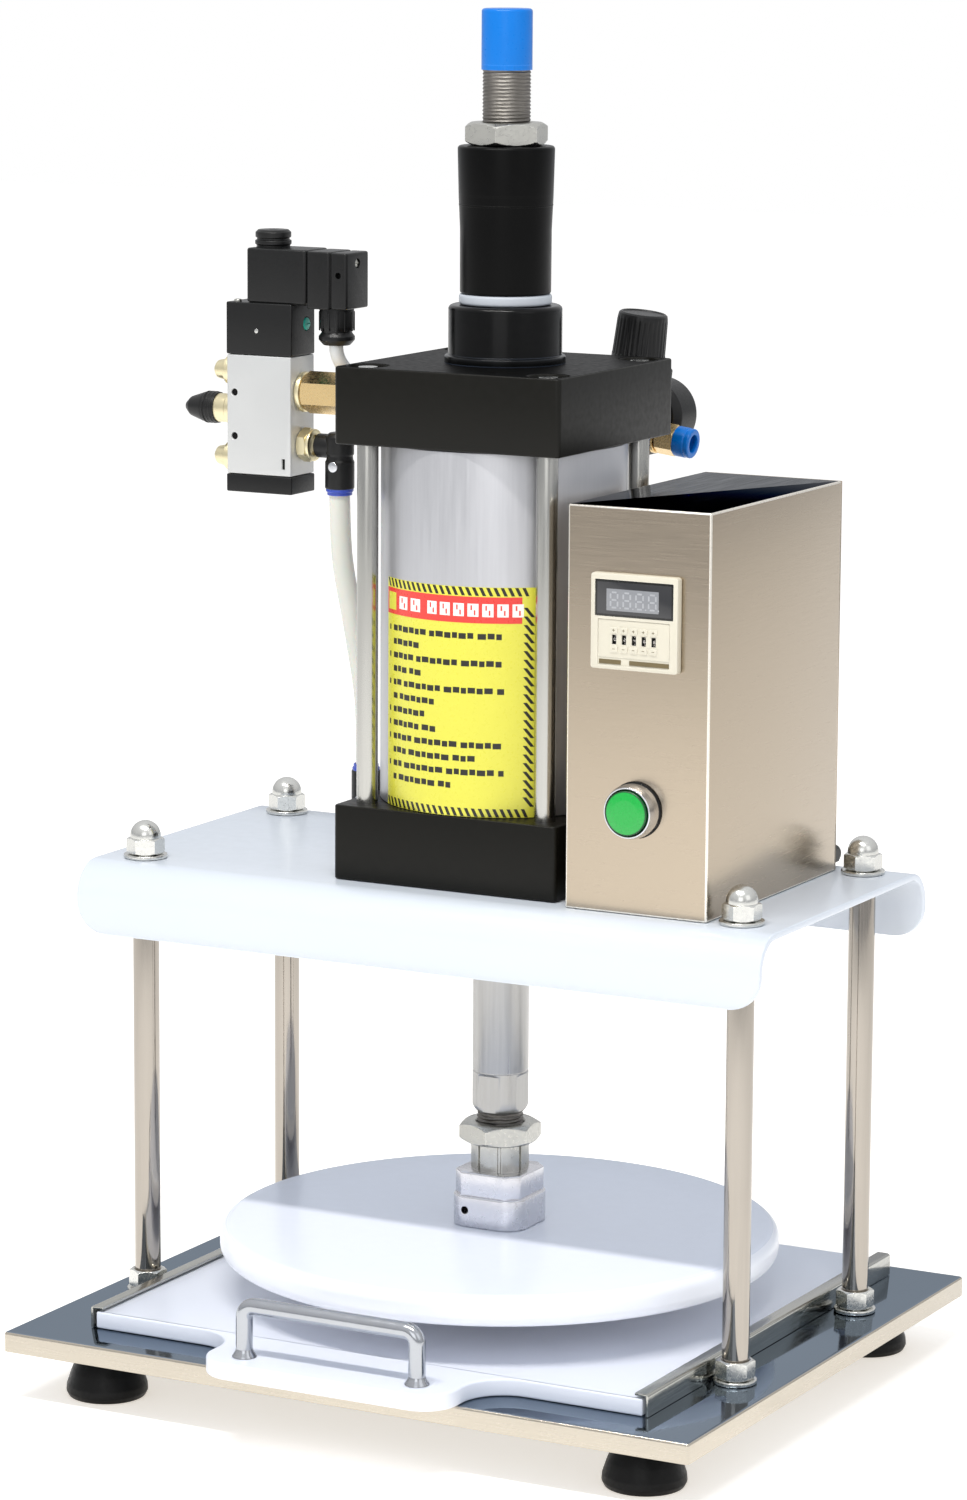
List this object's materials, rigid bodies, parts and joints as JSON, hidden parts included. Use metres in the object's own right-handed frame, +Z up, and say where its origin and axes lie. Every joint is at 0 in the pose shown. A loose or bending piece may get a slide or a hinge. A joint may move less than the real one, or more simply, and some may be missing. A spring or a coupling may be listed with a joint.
{
  "type": "pneumatic dough press",
  "caption": "Bench-top pneumatic press: an adjustable-stroke air cylinder on a column frame pushes a round disc onto a pull-out board.",
  "frame": {"origin": "middle of the footprint, on the surface the feet stand on", "axes": "+Z up along the cylinder, -Y towards the operator (board handle side), +X to the operator's right (control box side)"},
  "size_m": [0.429, 0.3926, 0.779],
  "materials": {
    "mirror_steel": "mirror polished stainless sheet",
    "rail_steel": "bright stainless sheet",
    "box_steel": "fine grained stainless sheet",
    "foot_rubber": "matt moulded rubber",
    "white_plastic": "milled white food-grade plastic, satin",
    "handle_chrome": "polished bar",
    "column_chrome": "polished turned steel",
    "rod_chrome": "hard chromed and ground",
    "hub_steel": "satin machined stainless steel",
    "zinc_steel": "zinc plated nut",
    "white_paint": "smooth white powder coat",
    "black_paint": "satin black paint on die-cast aluminium",
    "tube_aluminium": "satin anodised aluminium",
    "valve_aluminium": "silver painted aluminium",
    "grey_ring": "grey elastomer ring",
    "black_plastic": "moulded black plastic",
    "blue_plastic": "soft blue thread cover",
    "ivory_plastic": "ivory moulded case",
    "green_plastic": "green push-button cap",
    "teal_plastic": "teal override button",
    "brass": "plain machined brass",
    "air_tube": "milky air tube",
    "white_cable": "white sheathed lead",
    "label_print": "printed yellow label",
    "display_window": "dark display window"
  },
  "bodies": {
    "frame": {"base_tray": "mirror_steel", "foot_front_left": "foot_rubber", "foot_back_left": "foot_rubber", "foot_front_right": "foot_rubber", "foot_back_right": "foot_rubber", "left_guide_rail": "rail_steel", "right_guide_rail": "rail_steel", "column_front_left": "column_chrome", "column_back_left": "column_chrome", "column_front_right": "column_chrome", "column_back_right": "column_chrome", "dome_nut_front_left": "column_chrome", "dome_nut_back_left": "column_chrome", "dome_nut_front_right": "column_chrome", "dome_nut_back_right": "column_chrome", "table_plate": "white_paint", "bottom_cap": "black_paint", "top_cap": "black_paint", "cylinder_tube": "tube_aluminium", "tie_rod_front_left": "column_chrome", "tie_rod_back_left": "column_chrome", "tie_rod_front_right": "column_chrome", "tie_rod_back_right": "column_chrome", "bumper_ring": "grey_ring", "control_box": "box_steel", "box_back_panel": "box_steel", "timer_case": "ivory_plastic", "button_bezel": "rod_chrome", "cable_gland": "black_plastic", "valve_body": "valve_aluminium", "valve_pilot_cap": "black_plastic", "valve_end_cap": "black_plastic", "solenoid_coil": "black_plastic", "coil_plug": "black_plastic", "valve_nipple": "brass", "upper_elbow": "black_plastic", "lower_elbow": "black_plastic", "air_tube": "air_tube", "valve_lead": "white_cable", "regulator_body": "black_paint", "pressure_gauge": "black_plastic", "inlet_fitting": "brass"},
    "press": {"piston_rod": "rod_chrome", "piston": "tube_aluminium", "rod_lock_nut": "zinc_steel", "disc_hub": "hub_steel", "press_disc": "white_plastic", "thread_cap": "blue_plastic"},
    "stop_nut": {"stroke_lock_nut": "zinc_steel"},
    "stop_sleeve": {"stroke_sleeve": "black_plastic"},
    "board": {"sliding_board": "white_plastic", "board_handle": "handle_chrome"},
    "start_button": {"button_cap": "green_plastic"},
    "override": {"override_button": "teal_plastic"},
    "knob": {"regulator_knob": "black_plastic"},
    "wheel_1": {"digit_wheel_1": "black_plastic"},
    "wheel_2": {"digit_wheel_2": "black_plastic"},
    "wheel_3": {"digit_wheel_3": "black_plastic"},
    "wheel_4": {"digit_wheel_4": "black_plastic"},
    "wheel_5": {"digit_wheel_5": "black_plastic"}
  },
  "joints": [
    {"name": "press_slide", "type": "slide", "parent": "frame", "child": "press", "axis": [0, 0, 1], "range_m": [0, 0.105]},
    {"name": "stop_travel", "type": "slide", "parent": "press", "child": "stop_nut", "axis": [0, 0, 1], "range_m": [0, 0.024]},
    {"name": "stop_turn", "type": "hinge", "parent": "stop_nut", "child": "stop_sleeve", "pos_m": [0.0062, 0.00575, 0.66], "axis": [0, 0, 1], "range_deg": [0, 4320]},
    {"name": "board_slide", "type": "slide", "parent": "frame", "child": "board", "axis": [0, -1, 0], "range_m": [0, 0.3]},
    {"name": "start_press", "type": "slide", "parent": "frame", "child": "start_button", "axis": [0, 1, 0], "range_m": [0, 0.004], "stiffness_N_per_m": 600, "springref_m": -0.002},
    {"name": "override_press", "type": "slide", "parent": "frame", "child": "override", "axis": [-1, 0, 0], "range_m": [0, 0.0015], "stiffness_N_per_m": 400, "springref_m": -0.001},
    {"name": "regulator_turn", "type": "hinge", "parent": "frame", "child": "knob", "pos_m": [0.036, 0.10775, 0.56], "axis": [0.1197, 0, 0.9928], "range_deg": [0, 1440]},
    {"name": "digit_1_turn", "type": "hinge", "parent": "frame", "child": "wheel_1", "pos_m": [0.1174, -0.07265, 0.4474], "axis": [1, 0, 0], "continuous": true},
    {"name": "digit_2_turn", "type": "hinge", "parent": "frame", "child": "wheel_2", "pos_m": [0.1233, -0.07265, 0.4474], "axis": [1, 0, 0], "continuous": true},
    {"name": "digit_3_turn", "type": "hinge", "parent": "frame", "child": "wheel_3", "pos_m": [0.1292, -0.07265, 0.4474], "axis": [1, 0, 0], "continuous": true},
    {"name": "digit_4_turn", "type": "hinge", "parent": "frame", "child": "wheel_4", "pos_m": [0.1351, -0.07265, 0.4474], "axis": [1, 0, 0], "continuous": true},
    {"name": "digit_5_turn", "type": "hinge", "parent": "frame", "child": "wheel_5", "pos_m": [0.141, -0.07265, 0.4474], "axis": [1, 0, 0], "continuous": true}
  ],
  "couplings": [
    {"joint": "stop_turn", "follows": "stop_travel", "rad_per_m": 3141.6}
  ]
}
